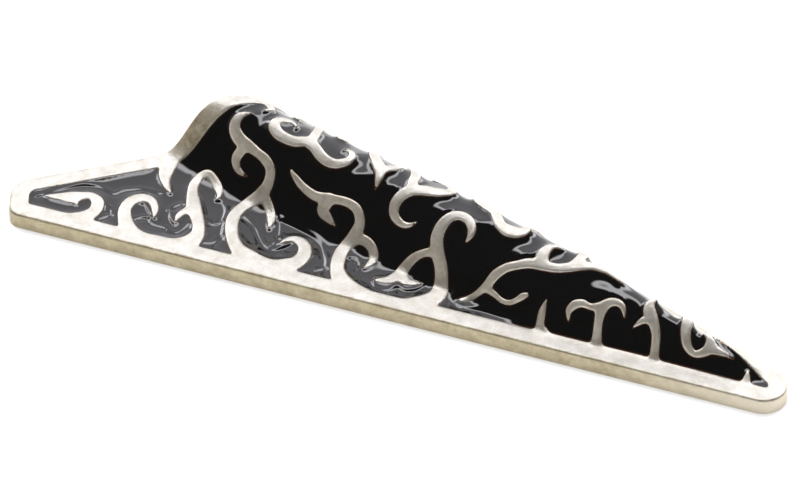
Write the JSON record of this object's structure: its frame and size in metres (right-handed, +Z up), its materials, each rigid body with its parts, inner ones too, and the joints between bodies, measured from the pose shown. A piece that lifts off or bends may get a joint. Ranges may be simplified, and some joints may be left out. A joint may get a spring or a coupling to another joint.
{
  "type": "brooch",
  "caption": "Long three-cornered domed brooch: silver border and scrolls around black enamel, hollow back with a pin.",
  "frame": {"origin": "under the middle of the box, at the height of the flat rim that the brooch lies on", "axes": "+X from the rounded left tip to the right tip, along the near edge; +Y from the near edge towards the far corner; +Z up through the domed face"},
  "size_m": [0.0702, 0.0198, 0.0068],
  "materials": {
    "silver": "satin, slightly warm",
    "enamel": "glossy",
    "pin_metal": "satin"
  },
  "bodies": {
    "root": {"silver_casting": "silver", "enamel": "enamel", "pin_back": "pin_metal"}
  },
  "joints": []
}
